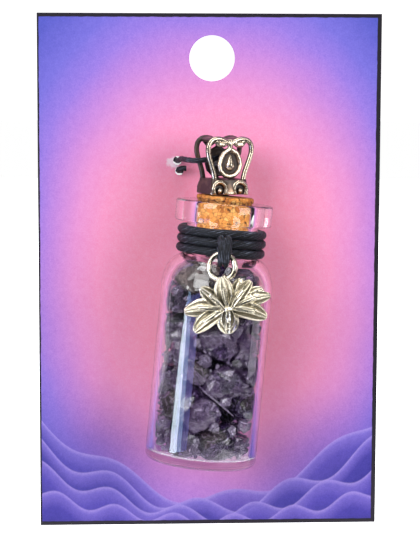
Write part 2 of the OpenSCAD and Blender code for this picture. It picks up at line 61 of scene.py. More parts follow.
# The middle of the bottle's mouth on the card, how the pendant leans, and the bottle over its own foot
MOUTH = (2.05, -10.7102, -27.5)
LEAN_RIGHT = 5.4
LEAN_BACK = 2.0
BOTTLE_H = 50.9
BODY_R = 10.85
INNER_R = 9.75
BASE_T = 1.7
FOOT_R = 1.2
INNER_FOOT_R = 0.5
BODY_Z = 34.0
SHOULDER_H = 6.4
INNER_SHOULDER_Z = 33.6
INNER_SHOULDER_H = 6.0
NECK_R = 6.9
BORE_R = 5.3
LIP_R = 9.4
LIP_Z = 46.8
LIP_LOW_R = 0.35
LIP_TOP_R = 0.5
BORE_EDGE_R = 0.35
CORK_R = 5.2
CORK_TOP = 52.05
CORK_LOW = 44.3
CORK_LOW_R = 4.93
CORK_WIDENING = 0.27
CORK_SIDE_H = 6.2
WRAP_R = 7.825
WRAP_CORD_R = 0.875
WRAP_LOW_Z = 41.5475
WRAP_PITCH = 1.8025
WRAP_OUT = 8.7
LOOP_CORD_R = 0.7
LOOP_REACH = 11.6
RING_R = 2.5
RING_WIRE_R = 0.5
RING_X = -0.2
RING_Y = -11.4548
RING_Z = 39.25
RING_LEAN = 7.5
RING_TURN = 12.0
RING_TURNS = 1.2
RING_PITCH = 1.15
TIE_R = 0.55
TIE_ROUTE = [
    (-8.8, 1.5, -18.9), (-7.9, 1.4, -19.6), (-7.05, 0.8, -20.1), (-6.7, -0.6, -20.2),
    (-6.5, -2.4, -19.9), (-6.2, -5, -19.5), (-5.8, -8, -19.4), (-4.9, -10.6, -19.4),
    (-3.2, -12.2, -19.4), (-1.2, -11.9, -19.2), (1, -10.9, -18.8), (2.9, -9.1, -18.4),
    (3.4, -7.3, -18.1), (3.5, -5, -18.1), (3.5, -2.4, -18.2), (3.5, -0.2, -18.3),
    (2.7, 1, -18.7), (0.6, 1.15, -19.8), (-2.4, 1.1, -21.4), (-4.8, 1.25, -22.2),
    (-6.2, 0.4, -22.25), (-6.7, -1.2, -22), (-6.1, -2.1, -21.6), (-5.1, -2.2, -21.6),
]
# The knot behind the card: its middle, its radii, how far it slants from end to end, and its turns
KNOT_AT = (-8.45, 1.5, -19.2)
KNOT_RADII = (0.5, 0.1, 0.55)
KNOT_SLANT = (0.5, -0.05, -0.45)
KNOT_TURNS = 2
# The bail on the cork, its panels and base, and the drop in each panel
BAIL_OFF = -0.65
BAIL_UP = 52.47
BAIL_TURN = 25.0
BAIL_LEAN = -4.0
BAIL_PANEL_V = 2.375
BAIL_BASE_H = 2.9
BAIL_BASE_V = 3.2
DROP_Z = 6.5
DROP_HALF_W = 1.05
DROP_HALF_H = 1.9
DROP_FLOOR_V = 2.42


# Where the pendant stands

def pendant_place():
    to_right = Matrix.Rotation(math.radians(LEAN_RIGHT), 4, "Y")
    turn = to_right @ Matrix.Rotation(math.radians(-LEAN_BACK), 4, "X")
    return Matrix.Translation(MOUTH) @ turn @ Matrix.Translation((0, 0, -BOTTLE_H))


PENDANT = np.array(pendant_place())


def on_card(points):
    """Points of the pendant's own frame, moved to their place on the card."""
    return np.asarray(points, float) @ PENDANT[:3, :3].T + PENDANT[:3, 3]


def off_card(points):
    """The way back, from the card to the pendant's own frame."""
    return (np.asarray(points, float) - PENDANT[:3, 3]) @ PENDANT[:3, :3]


# Materials

def srgb(r, g, b):
    """A colour as it is seen, 0 to 255, for a shader socket."""
    def part(c):
        c /= 255
        return c / 12.92 if c < 0.04045 else ((c + 0.055) / 1.055) ** 2.4
    return (part(r), part(g), part(b), 1.0)


class Level:
    """A number that varies over a surface. Arithmetic on it adds Math nodes."""

    def __init__(self, look, socket):
        self.look = look
        self.socket = socket

    def math(self, operation, *values):
        return self.look.node("ShaderNodeMath", {"operation": operation}, dict(enumerate(values)))

    def __add__(self, other):
        return self.math("ADD", self, other)

    def __sub__(self, other):
        return self.math("SUBTRACT", self, other)

    def __rsub__(self, other):
        return self.math("SUBTRACT", other, self)

    def __mul__(self, other):
        return self.math("MULTIPLY", self, other)

    def __truediv__(self, other):
        return self.math("DIVIDE", self, other)

    def __pow__(self, other):
        return self.math("POWER", self, other)

    __radd__ = __add__
    __rmul__ = __mul__

    def size(self):
        return self.math("ABSOLUTE", self)

    def sine(self):
        return self.math("SINE", self)

    def lower(self, other):
        return self.math("MINIMUM", self, other)

    def higher(self, other):
        return self.math("MAXIMUM", self, other)

    def between(self, low, high):
        """0 at low, 1 at high, with soft ends."""
        return self.look.node("ShaderNodeMapRange", {"interpolation_type": "SMOOTHSTEP"},
                              {"Value": self, "From Min": low, "From Max": high})


class Look:
    """A material and the nodes that make its finish."""

    def __init__(self, name):
        self.material = bpy.data.materials.new(name)
        self.material.use_nodes = True
        self.tree = self.material.node_tree
        self.tree.nodes.clear()
        self.output = self.tree.nodes.new("ShaderNodeOutputMaterial")
        self.spot = None

    def node(self, kind, settings=None, sockets=None, out=0):
        made = self.tree.nodes.new(kind)
        for name, value in (settings or {}).items():
            if name == "stops":
                ramp = made.color_ramp
                while len(ramp.elements) < len(value):
                    ramp.elements.new(0.5)
                for stop, (at, colour) in zip(ramp.elements, value):
                    stop.position = at
                    stop.color = colour
            else:
                setattr(made, name, value)
        for name, value in (sockets or {}).items():
            if isinstance(value, Level):
                self.tree.links.new(value.socket, made.inputs[name])
            else:
                made.inputs[name].default_value = value
        return Level(self, made.outputs[out])

    def place(self):
        """Where a point is on the piece, in mm in the card's frame."""
        if self.spot is None:
            self.spot = self.stretch(self.node("ShaderNodeTexCoord", out="Object"), 1 / MM)
        return self.spot

    def stretch(self, vector, by):
        return self.node("ShaderNodeVectorMath", {"operation": "MULTIPLY"}, {0: vector, 1: (by, by, by)})

    def parts(self, vector):
        split = self.node("ShaderNodeSeparateXYZ", sockets={0: vector})
        outputs = split.socket.node.outputs
        return [Level(self, outputs[i]) for i in range(3)]

    def rise(self, start):
        """How far a point lies above start, in mm along the pendant's own axis."""
        axis = PENDANT[:3, 2]
        x, y, z = self.parts(self.place())
        return (x - start[0]) * axis[0] + (y - start[1]) * axis[1] + (z - start[2]) * axis[2]

    def grain(self, scale, detail=2.0, rough=0.5, vector=None, warp=0.0, out=0):
        return self.node("ShaderNodeTexNoise", {},
                         {"Vector": vector or self.place(), "Scale": scale, "Detail": detail,
                          "Roughness": rough, "Distortion": warp}, out)

    def cells(self, scale, feature="F1", out="Distance", vector=None):
        return self.node("ShaderNodeTexVoronoi", {"feature": feature},
                         {"Vector": vector or self.place(), "Scale": scale}, out)

    def ramp(self, level, stops):
        return self.node("ShaderNodeValToRGB", {"stops": stops}, {0: level})

    def mix(self, share, first, second, blend="MIX"):
        return self.node("ShaderNodeMix", {"data_type": "RGBA", "blend_type": blend},
                         {0: share, 6: first, 7: second}, 2)

    def bump(self, height, distance, strength):
        return self.node("ShaderNodeBump", {}, {
            "Height": height, "Distance": distance * MM, "Strength": strength})

    def shown(self, shader):
        self.tree.links.new(shader.socket, self.output.inputs["Surface"])
        return self.material

    def finish(self, sockets):
        return self.shown(self.node("ShaderNodeBsdfPrincipled", {}, sockets))


# The printed waves, the farthest first: height in the middle of the card, climb to its sides and swing in
# mm, radians of swing in each mm and at the start, and main colour
WAVES = [
    (-89.0, 17.0, 1.7, 0.29, 0.6, srgb(92, 82, 184)), (-90.5, 13.5, 1.9, 0.36, 2.3, srgb(78, 70, 170)),
    (-92.0, 10.0, 1.5, 0.44, 4.1, srgb(98, 86, 190)), (-93.2, 6.0, 1.2, 0.53, 5.4, srgb(84, 74, 176)),
]


def card_print():
    look = Look("card_print")
    x, y, z = look.parts(look.place())
    # Printed glow: pink in the middle, lavender and then violet-blue towards the corners
    across = ((x - GLOW_X) / GLOW_REACH_X).size()
    up = ((z - GLOW_Z) / GLOW_REACH_Z).size()
    far = (across ** GLOW_SQUARENESS + up ** GLOW_SQUARENESS) ** (1 / GLOW_SQUARENESS)
    far = far + (look.grain(0.05, 2.0) - 0.5) * 0.1
    glow = look.ramp(far / 1.5, [
        (0.0, srgb(246, 158, 186)), (0.3, srgb(250, 160, 188)), (0.44, srgb(250, 163, 204)),
        (0.53, srgb(234, 156, 214)), (0.62, srgb(200, 142, 222)), (0.7, srgb(160, 130, 226)),
        (0.78, srgb(126, 118, 220)), (0.9, srgb(90, 96, 200))])
    # Low on the card the print turns violet-blue
    low = z.between(-62.0, -88.0) * (x.size() / 30.0).between(0.1, 0.8)
    print_colour = look.mix(low * 0.75, glow, srgb(94, 84, 190))
    # Layers of waves across the foot of the card, higher towards its sides
    climb = (x.size() / 34.0) ** 1.6
    for middle, rise, swing, pace, start, body in WAVES:
        crest = climb * rise + (x * pace + start).sine() * swing + middle
        under = crest - z
        shade = look.ramp(under / 9.0, [
            (0.0, srgb(186, 168, 240)), (0.12, srgb(134, 118, 214)), (0.4, body), (1.0, srgb(62, 56, 152))])
        print_colour = look.mix(under.between(0.0, 0.35) * 0.86, print_colour, shade)
    # Fine grain of the printing and the paper
    speck = look.grain(3.2, 3.0, 0.7)
    print_colour = look.mix(0.14, print_colour, look.ramp(speck, [
        (0.3, srgb(90, 60, 120)), (0.7, srgb(255, 250, 255))]), "OVERLAY")
    blotch = look.grain(0.9, 4.0, 0.65)
    print_colour = look.mix(0.26, print_colour, look.ramp(blotch, [
        (0.35, srgb(96, 84, 110)), (0.65, srgb(172, 158, 176))]), "SOFT_LIGHT")
    # Border line, printed off the middle
    left, right, top, bottom = BORDER
    edge = (x - CARD_LEFT - left).lower(CARD_RIGHT - right - x)
    edge = edge.lower(CARD_TOP - top - z).lower(z - CARD_BOTTOM - bottom)
    edge = edge + (look.grain(0.6, 2.0) - 0.5) * 0.25
    print_colour = look.mix(edge.between(0.06, -0.06), print_colour, srgb(28, 22, 34))
    # Torn paper round the tie's left hole
    torn_x = (x - TORN_X) / TORN_HALF_W
    torn_z = (z - TORN_Z) / TORN_HALF_H
    torn = (torn_x * torn_x + torn_z * torn_z) ** 0.5 + (look.grain(0.9, 4.0, 0.6) - 0.5) * 1.7
    torn = torn.between(1.05, 0.6)
    print_colour = look.mix(torn * 0.7, print_colour, srgb(248, 236, 248))
    # White board shows at the cut edges and plain pale paper on the back
    front = y.between(-0.242, -0.248)
    fibre = look.grain(2.2, 3.0, 0.6)
    board = look.ramp(fibre, [(0.3, srgb(226, 223, 218)), (0.7, srgb(243, 241, 237))])
    colour = look.mix(front, board, print_colour)
    normal = look.bump(look.grain(0.8, 3.0, 0.6) + torn * 1.5, 0.02, 0.5)
    return look.finish({"Base Color": colour, "Roughness": 0.5 + torn * 0.3 + (1.0 - front) * 0.3,
                        "Specular IOR Level": 0.3, "Normal": normal})


def clear_glass():
    look = Look("clear_glass")
    wave = look.bump(look.grain(0.12, 1.0), 0.02, 0.2)
    glass = look.node("ShaderNodeBsdfPrincipled", {}, {
        "Base Color": (0.985, 0.992, 0.99, 1), "Roughness": 0.0, "IOR": 1.5,
        "Transmission Weight": 1.0, "Normal": wave})
    # Light would be lost in the thick foot, so part of it passes there straight through
    straight = look.node("ShaderNodeBsdfTransparent", {}, {"Color": (0.97, 0.95, 0.98, 1)})
    share = look.rise(PENDANT[:3, 3]).between(2.6, 1.5) * 0.55
    return look.shown(look.node("ShaderNodeMixShader", {}, {0: share, 1: glass, 2: straight}))


def cork_crumb():
    look = Look("cork_crumb")
    bend = look.stretch(look.grain(1.2, 2.0, out=1), 0.5)
    crumb = look.node("ShaderNodeVectorMath", {"operation": "ADD"}, {0: look.place(), 1: bend})
    pick = look.cells(1.35, out="Color", vector=crumb)
    shade = look.parts(pick)[0]
    colour = look.ramp(shade, [
        (0.0, srgb(172, 108, 48)), (0.25, srgb(214, 146, 74)), (0.5, srgb(232, 170, 96)),
        (0.75, srgb(222, 150, 72)), (1.0, srgb(246, 200, 132))])
    fine = look.grain(4.0, 4.0, 0.7)
    tint = look.ramp(fine, [(0.3, srgb(150, 90, 40)), (0.7, srgb(250, 206, 140))])
    colour = look.mix(0.45, colour, tint, "OVERLAY")
    seam = look.cells(1.35, "DISTANCE_TO_EDGE", vector=crumb).between(0.10, 0.02)
    pit = look.grain(1.5, 3.0, 0.6).between(0.57, 0.66)
    # A darker band runs round the mouth of the glass, stain together with painted shade where the cork meets
    # the glass, and the top of the cork is pitted
    rise = look.rise(MOUTH)
    stain_and_shade = (1.0 - ((rise - 0.1) / 0.6).size()).higher(0.0) * look.grain(1.3, 3.0, 0.6).between(0.35, 0.6)
    top = rise.between(1.0, 1.15) * look.grain(1.8, 3.0, 0.6).between(0.42, 0.6)
    dark = (seam * 0.45 + pit * 0.9 + stain_and_shade * 0.8 + top * 0.8).lower(1.0)
    colour = look.mix(dark, colour, srgb(96, 52, 22))
    normal = look.bump(fine * 0.4 - dark, 0.16, 0.8)
    return look.finish({"Base Color": colour, "Roughness": 0.75, "Specular IOR Level": 0.3, "Normal": normal})


def antique_silver(name, bright, mid, dark, rim):
    """Cast silver whose hollows keep the dark of the oxide, with painted shade added where it is shut in, and
    whose high places are rubbed bright.
    """
    look = Look(name)
    hollow = look.node("ShaderNodeAttribute", {"attribute_name": "hollow"}, out="Fac")
    patch = look.grain(0.7, 3.0, 0.6)
    depth = hollow + (patch - 0.5) * 0.34
    # The ramp turns the stored oxide and painted shade into colour: bright where rubbed, dark in hollows and
    # shut-in places
    colour = look.ramp(depth, [(0.0, bright), (0.26, bright), (0.42, mid), (0.6, dark), (1.0, rim)])
    rough = 0.26 + depth.between(0.3, 0.65) * 0.16 + (look.grain(6.0, 3.0, 0.6) - 0.5) * 0.14
    normal = look.bump(look.grain(2.6, 3.0, 0.55), 0.035, 0.5)
    return look.finish({"Base Color": colour, "Metallic": 1.0 - depth.between(0.36, 0.6) * 0.9,
                        "Roughness": rough, "Specular IOR Level": 0.5, "Normal": normal})


def ring_silver():
    look = Look("ring_silver")
    smudge = look.grain(0.9, 3.0, 0.6)
    colour = look.ramp(smudge, [(0.3, srgb(168, 156, 132)), (0.6, srgb(226, 218, 198))])
    normal = look.bump(look.grain(3.5, 2.0, 0.5), 0.02, 0.4)
    return look.finish({"Base Color": colour, "Metallic": 1.0, "Roughness": 0.18 + smudge * 0.16,
                        "Normal": normal})


def black_cord(name, fibres):
    """Waxed cotton: fine fibres that run along the cord with a slow twist; their pale bluish-grey streaks are
    partly painted sheen.
    """
    look = Look(name)
    u, v, _ = look.parts(look.node("ShaderNodeTexCoord", out="UV"))
    lie = look.node("ShaderNodeCombineXYZ", {}, {0: (u + v / 14.0) * fibres, 1: v * 0.3, 2: 0.0})
    strand = look.grain(1.0, 3.0, 0.65, vector=lie)
    fuzz = look.grain(5.0, 3.0, 0.7)
    # The pale bluish-grey end of the ramp is partly the fibres' own grey and partly painted sheen
    colour = look.ramp(strand * 0.75 + fuzz * 0.25, [
        (0.38, srgb(2, 2, 4)), (0.5, srgb(12, 12, 18)),
        (0.58, srgb(58, 62, 76)), (0.68, srgb(150, 158, 178))])
    normal = look.bump(strand * 1.2 + fuzz * 0.35, 0.14, 1.0)
    return look.finish({"Base Color": colour, "Roughness": 0.7 - strand * 0.25, "Specular IOR Level": 0.25,
                        "Sheen Weight": 0.05, "Sheen Roughness": 0.4, "Sheen Tint": srgb(150, 152, 165),
                        "Normal": normal})


def stone(name, colours, clear, rough, cracks=0.35):
    """Broken quartz: colour runs through it in clouds and veils, with pale cracks and a glassy skin."""
    look = Look(name)
    cloud = look.grain(0.45, 3.0, 0.6, warp=0.8)
    veil = look.grain(1.7, 4.0, 0.7, warp=0.5)
    level = cloud * 0.55 + veil * 0.45
    colour = look.ramp(level, [(0.34 + 0.32 * i / (len(colours) - 1), c) for i, c in enumerate(colours)])
    crack = look.cells(0.7, "DISTANCE_TO_EDGE").between(0.07, 0.0) * veil.between(0.45, 0.6) * cracks
    colour = look.mix(crack, colour, srgb(206, 186, 224))
    normal = look.bump(look.grain(1.5, 4.0, 0.6) - crack * 0.5, 0.24, 0.8)
    return look.finish({"Base Color": colour, "Roughness": rough + (look.grain(1.1, 2.0) - 0.5) * 0.2,
                        "IOR": 1.54, "Transmission Weight": clear, "Coat Weight": 0.8, "Coat Roughness": 0.04,
                        "Normal": normal})


# Shapes, all in mm

def flat_faces(faces):
    return [tuple(int(i) for i in face) for face in faces]


def lathe(profile, steps):
    """Rings of points round the Z axis; a profile point with no radius is one point."""
    points, rings, faces = [], [], []
    turn = 2 * math.pi * np.arange(steps) / steps
    for r, z in profile:
        if r < 1e-6:
            rings.append([len(points)])
            points.append((0, 0, z))
        else:
            rings.append(list(range(len(points), len(points) + steps)))
            points.extend(zip(r * np.cos(turn), r * np.sin(turn), np.full(steps, z)))
    for low, high in zip(rings, rings[1:]):
        for k in range(steps):
            n = (k + 1) % steps
            if len(low) == 1:
                faces.append((low[0], high[n], high[k]))
            elif len(high) == 1:
                faces.append((low[k], low[n], high[0]))
            else:
                faces.append((low[k], low[n], high[n], high[k]))
    return np.array(points), faces


def arc(r, z, rx, rz, start, end, steps):
    turn = np.radians(np.linspace(start, end, steps + 1))
    return list(zip(r + rx * np.cos(turn), z + rz * np.sin(turn)))


def curve(route, steps):
    """A smooth curve through the points of a route."""
    p = np.asarray(route, float)
    p = np.vstack([2 * p[0] - p[1], p, 2 * p[-1] - p[-2]])
    t = np.arange(steps)[:, None] / steps
    made = []
    for a, b, c, d in zip(p, p[1:], p[2:], p[3:]):
        made.append(0.5 * (2 * b + (c - a) * t + (2 * a - 5 * b + 4 * c - d) * t ** 2
                           + (3 * b - a - 3 * c + d) * t ** 3))
    return np.vstack(made + [p[-2:-1]])


def carried_sides(path):
    """Directions across a path, carried along it without a twist."""
    way = np.gradient(path, axis=0)
    way /= np.linalg.norm(way, axis=1)[:, None]
    side = np.cross(way[0], (1, 0, 0) if abs(way[0][0]) < 0.8 else (0, 1, 0))
    sides = []
    for h in way:
        side = side - (side @ h) * h
        side = side / np.linalg.norm(side)
        sides.append(side)
    sides = np.array(sides)
    return sides, np.cross(way, sides)


def cord_form(path, radius, sides=24, plies=0, depth=0.0, lay=4.0, closed=False):
    """A cord along a path: plies give its lobes, lay is the length of one turn of their twist."""
    path = np.asarray(path, float)
    n = len(path)
    radius = np.broadcast_to(np.asarray(radius, float), (n,))
    first, second = carried_sides(path)
    run = np.concatenate([[0], np.cumsum(np.linalg.norm(np.diff(path, axis=0), axis=1))])
    turn = 2 * math.pi * np.arange(sides) / sides
    rings = []
    for i in range(n):
        lobes = np.abs(np.cos(plies * (turn - 2 * math.pi * run[i] / lay) / 2))
        r = radius[i] * (1 - depth + depth * lobes)
        rings.append(path[i] + np.outer(r * np.cos(turn), first[i]) + np.outer(r * np.sin(turn), second[i]))
    points = np.vstack(rings)
    faces, uv = [], []
    for i in range(n if closed else n - 1):
        j = (i + 1) % n
        along = run[i + 1] if i + 1 < n else run[i] + run[1]
        for k in range(sides):
            m = (k + 1) % sides
            faces.append((i * sides + k, i * sides + m, j * sides + m, j * sides + k))
            left, right = k / sides, (k + 1) / sides
            uv += [(left, run[i]), (right, run[i]), (right, along), (left, along)]
    if not closed:
        for i, order in ((0, -1), (n - 1, 1)):
            faces.append(tuple(i * sides + k for k in range(sides))[::order])
            uv += [(k / sides, run[i]) for k in range(sides)][::order]
    return points, faces, uv


def solid(node):
    """The corners in mm and the faces of a CAD node, with its doubled corners joined."""
    work = bmesh.new()
    work.from_mesh(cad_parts[node].data)
    bmesh.ops.remove_doubles(work, verts=work.verts, dist=2e-6)
    points = np.array([v.co for v in work.verts]) / MM
    faces = [tuple(v.index for v in f.verts) for f in work.faces]
    work.free()
    return points, faces


def fused(points, faces, voxel, rounds):
    """One skin of small even four-sided faces round the given forms, rounded off."""
    mesh = bpy.data.meshes.new("fusing")
    mesh.from_pydata(np.asarray(points).tolist(), [], flat_faces(faces))
    made = bpy.data.objects.new("fusing", mesh)
    bpy.context.scene.collection.objects.link(made)
    skin = made.modifiers.new("skin", "REMESH")
    skin.mode = "VOXEL"
    skin.voxel_size = voxel
    soft = made.modifiers.new("soft", "SMOOTH")
    soft.factor = 0.5
    soft.iterations = rounds
    done = bpy.data.meshes.new_from_object(made.evaluated_get(bpy.context.evaluated_depsgraph_get()))
    points = np.empty(len(done.vertices) * 3)
    done.vertices.foreach_get("co", points)
    faces = np.empty(len(done.loops), int)
    done.loops.foreach_get("vertex_index", faces)
    bpy.data.objects.remove(made)
    bpy.data.meshes.remove(mesh)
    bpy.data.meshes.remove(done)
    return points.reshape(-1, 3), faces.reshape(-1, 4)


def joined(forms):
    """Forms as one: each form is its points and faces."""
    points, faces, start = [], [], 0
    for p, f in forms:
        points.append(np.asarray(p, float))
        faces += [tuple(i + start for i in face) for face in f]
        start += len(p)
    return np.vstack(points), faces


def piece(name, points, faces, finish, nodes, uv=None, smooth=True):
    """A piece of the object, which stands for the given CAD nodes."""
    mesh = bpy.data.meshes.new(name)
    mesh.from_pydata((np.asarray(points) * MM).tolist(), [], flat_faces(faces))
    mesh.polygons.foreach_set("use_smooth", [smooth] * len(mesh.polygons))
    if uv is not None:
        layer = mesh.uv_layers.new(name="along")
        layer.data.foreach_set("uv", np.array(uv, float).ravel())
    mesh.materials.append(finish)
    made = bpy.data.objects.new(name, mesh)
    bpy.context.scene.collection.objects.link(made)
    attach(made, "root")
    if nodes:
        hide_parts(*nodes)
    return made


def bail_unrubbed_and_shaded(points):
    """0 on the outermost places of the bail's panels and base, where it is rubbed, 1 elsewhere, where oxide
    stays; on the inner faces between the panels this is also painted shade.
    """
    frame_of_bail = PENDANT @ np.array(
        Matrix.Translation((BAIL_OFF, 0, BAIL_UP)) @ Matrix.Rotation(math.radians(BAIL_TURN), 4, "Z")
        @ Matrix.Rotation(math.radians(BAIL_LEAN), 4, "Y"))
    own = (points - frame_of_bail[:3, 3]) @ frame_of_bail[:3, :3]
    v, z = np.abs(own[:, 1]), own[:, 2]
    face = BAIL_BASE_V - 0.35 * np.clip(z / BAIL_BASE_H, 0, 1)
    on_panel = np.clip((v - BAIL_PANEL_V - 0.05) / 0.4, 0, 1)
    on_drop = (np.abs(own[:, 0]) < DROP_HALF_W) & (np.abs(z - DROP_Z) < DROP_HALF_H)
    on_panel = np.where(on_drop, np.clip((v - DROP_FLOOR_V) / 0.12, 0, 1.5), on_panel)
    on_base = np.clip((v - face - 0.02) / 0.16, 0, 1)
    on_base = np.maximum(on_base, np.clip((0.55 - z) / 0.2, 0, 1) * (v > BAIL_BASE_V - 0.3))
    return 1 - np.where(z > BAIL_BASE_H + 0.1, on_panel, on_base)


def charm_hidden(points):
    """The charm is rubbed all over, so no place of it is hidden."""
    return np.zeros(len(points))


# Wear and painted shade of a casting: rounds of rounding off, depth of a hollow and reach of its shade in mm,
# what a low, a shut-in and a hidden place add to the oxide and painted shade with how much there is
# everywhere, and where the piece stays unrubbed and shaded
BAIL_WEAR_AND_SHADE = (14, 0.12, 3.0, (0.22, 0.5, 0.6, -0.12), bail_unrubbed_and_shaded)
CHARM_WEAR_AND_SHADE = (10, 0.06, 1.6, (0.36, 0.62, 0.0, 0.04), charm_hidden)
# Rays from each point that find out how shut in it is
RAYS = 12


def mark_oxide_and_shade(made, rounds, depth, reach, shares, unrubbed_and_shaded):
    """Stores how dark each point is, oxide together with painted shade: 0 on the rubbed high places, 1 in the
    depths. It is a sum of how far the point lies below the rounded form, where oxide stays, how much of the
    open air it can't see, which is painted shade, and whether it is hidden from rubbing by its place on the
    piece, which adds oxide and, on the faces between the bail's panels, painted shade."""
    mesh = made.data
    n = len(mesh.vertices)
    here = np.empty(n * 3)
    mesh.vertices.foreach_get("co", here)
    here = here.reshape(-1, 3) / MM
    out = np.empty(n * 3)
    mesh.vertex_normals.foreach_get("vector", out)
    out = out.reshape(-1, 3)
    pairs = np.empty(len(mesh.edges) * 2, int)
    mesh.edges.foreach_get("vertices", pairs)
    a, b = pairs.reshape(-1, 2).T
    count = np.bincount(np.concatenate([a, b]), minlength=n)[:, None]

    def spread(values):
        near = np.zeros_like(values)
        np.add.at(near, a, values[b])
        np.add.at(near, b, values[a])
        return 0.5 * values + 0.5 * near / count

    soft = here
    for _ in range(rounds):
        soft = spread(soft)
    below = np.clip(0.5 + 0.5 * np.einsum("ij,ij->i", soft - here, out) / depth, 0, 1)
    # Painted shade: the share of short rays that hit the piece darkens the colour where ambient shade falls
    skin = BVHTree.FromPolygons(here.tolist(), [tuple(f.vertices) for f in mesh.polygons])
    dice = np.random.default_rng(3)
    ways = dice.normal(size=(n, RAYS, 3))
    ways = ways / np.linalg.norm(ways, axis=2)[:, :, None] + 1.02 * out[:, None]
    starts = here + 0.03 * out
    shut_in_shade = np.zeros(n)
    for i in range(n):
        start = Vector(starts[i])
        for way in ways[i]:
            if skin.ray_cast(start, Vector(way), reach)[0] is not None:
                shut_in_shade[i] += 1 / RAYS
    shut_in_shade = shut_in_shade[:, None]
    for _ in range(4):
        shut_in_shade = spread(shut_in_shade)
    level = shares[0] * below + shares[1] * shut_in_shade[:, 0] + shares[2] * unrubbed_and_shaded(here) + shares[3]
    level = np.clip(level, 0, 1)
    mesh.attributes.new("hollow", "FLOAT", "POINT").data.foreach_set("value", level.astype(np.float32))


# The pieces

def bottle(finish):
    profile = [(0, 0.3), (3, 0.28), (6, 0.18), (8, 0.06), (9.0, 0.0)]
    profile += arc(BODY_R - FOOT_R, FOOT_R, FOOT_R, FOOT_R, -90, 0, 8)
    profile += [(BODY_R, z) for z in (6, 12, 18, 24, 30)]
    profile += arc(NECK_R, BODY_Z, BODY_R - NECK_R, SHOULDER_H, 0, 76, 12)
    profile += [(7.5, 40.36), (7.2, 40.5), (7.0, 40.75), (6.92, 41.1)]
    profile += [(NECK_R, z) for z in (41.6, 44, 46.2)]
    profile += [(6.98, 46.55), (7.2, 46.74), (7.5, LIP_Z), (8.2, LIP_Z)]
    profile += arc(LIP_R - LIP_LOW_R, LIP_Z + LIP_LOW_R, LIP_LOW_R, LIP_LOW_R, -90, 0, 4)
    profile += arc(LIP_R - LIP_TOP_R, BOTTLE_H - LIP_TOP_R, LIP_TOP_R, LIP_TOP_R, 0, 90, 5)
    profile += [(8.2, BOTTLE_H), (7.0, BOTTLE_H)]
    profile += arc(BORE_R + BORE_EDGE_R, BOTTLE_H - BORE_EDGE_R, BORE_EDGE_R, BORE_EDGE_R, 90, 180, 4)
    profile += [(BORE_R, z) for z in (49, 47, 45, 43, 41)]
    profile += [(5.34, 40.3), (5.5, 39.85)]
    profile += arc(BORE_R, INNER_SHOULDER_Z, INNER_R - BORE_R, INNER_SHOULDER_H, 80, 0, 12)
    profile += [(INNER_R, z) for z in (28, 20, 12, 6)]
    profile += arc(INNER_R - INNER_FOOT_R, BASE_T + INNER_FOOT_R, INNER_FOOT_R, INNER_FOOT_R, 0, -90, 6)
    profile += [(6, BASE_T), (3, BASE_T), (0, BASE_T)]
    points, faces = lathe(profile, 144)
    made = piece("glass_bottle", on_card(points), faces, finish, ["bottle"])
    made.visible_shadow = False


def cork(finish):
    profile = [(0, CORK_LOW), (3, CORK_LOW)] + arc(CORK_R - 0.6, CORK_LOW + 0.3, 0.3, 0.3, -90, 0, 3)
    profile += [(CORK_LOW_R + CORK_WIDENING * i / 40, CORK_LOW + 0.35 + CORK_SIDE_H * i / 40)
                for i in range(1, 41)]
    profile += [(CORK_R + 0.15, BOTTLE_H + 0.1), (CORK_R + 0.33, BOTTLE_H + 0.3)]
    profile += [(CORK_R + 0.35, BOTTLE_H + 0.4 + 0.1 * i) for i in range(4)]
    profile += arc(CORK_R - 0.05, CORK_TOP - 0.35, 0.4, 0.35, 0, 90, 4)
    profile += [(CORK_R - 0.05 - 0.2 * i, CORK_TOP) for i in range(1, 25)] + [(0, CORK_TOP)]
    points, faces = lathe(profile, 160)
    for p in points:
        out = math.hypot(p[0], p[1])
        if out > 1 and p[2] > BOTTLE_H + 0.2:
            chewed = noise.noise(Vector(p) * 1.3) + 0.5 * noise.noise(Vector(p) * 3.1)
            p[:2] *= 1 - 0.10 * max(chewed, 0) / out
            p[2] -= 0.16 * max(chewed, 0) if p[2] > CORK_TOP - 0.3 else 0
        elif out > 1:
            p[:2] *= 1 - 0.14 * max(noise.noise(Vector(p) * 1.6) - 0.1, 0) / out
    piece("crumbly_cork", on_card(points), faces, finish, ["cork"])


def casting(name, node, finish, voxel, softness, wear_and_shade):
    points, faces = fused(*solid(node), voxel, softness)
    made = piece(name, points, faces, finish, [node])
    mark_oxide_and_shade(made, *wear_and_shade)


def jump_ring(finish):
    steps = 120
    t = np.linspace(-0.5, 0.5, steps)
    turn = np.radians(180 - 360 * RING_TURNS * t)
    path = np.stack([RING_R * np.cos(turn), RING_PITCH * RING_TURNS * t, RING_R * np.sin(turn)], 1)
    radius = np.full(steps, RING_WIRE_R)
    # The ends of the wire are rounded
    radius[[0, -1]] = 0.72 * RING_WIRE_R
    radius[[1, -2]] = 0.94 * RING_WIRE_R
    points, faces, _ = cord_form(path, radius, 20)
    turned = Matrix.Rotation(math.radians(-RING_TURN), 4, "Z")
    leaned = Matrix.Rotation(math.radians(-RING_LEAN), 4, "X")
    hang = np.array(Matrix.Translation((RING_X, RING_Y, RING_Z)) @ turned @ leaned)
    points = points @ hang[:3, :3].T + hang[:3, 3]
    piece("overlapped_ring", on_card(points), faces, finish, ["jump_ring"])


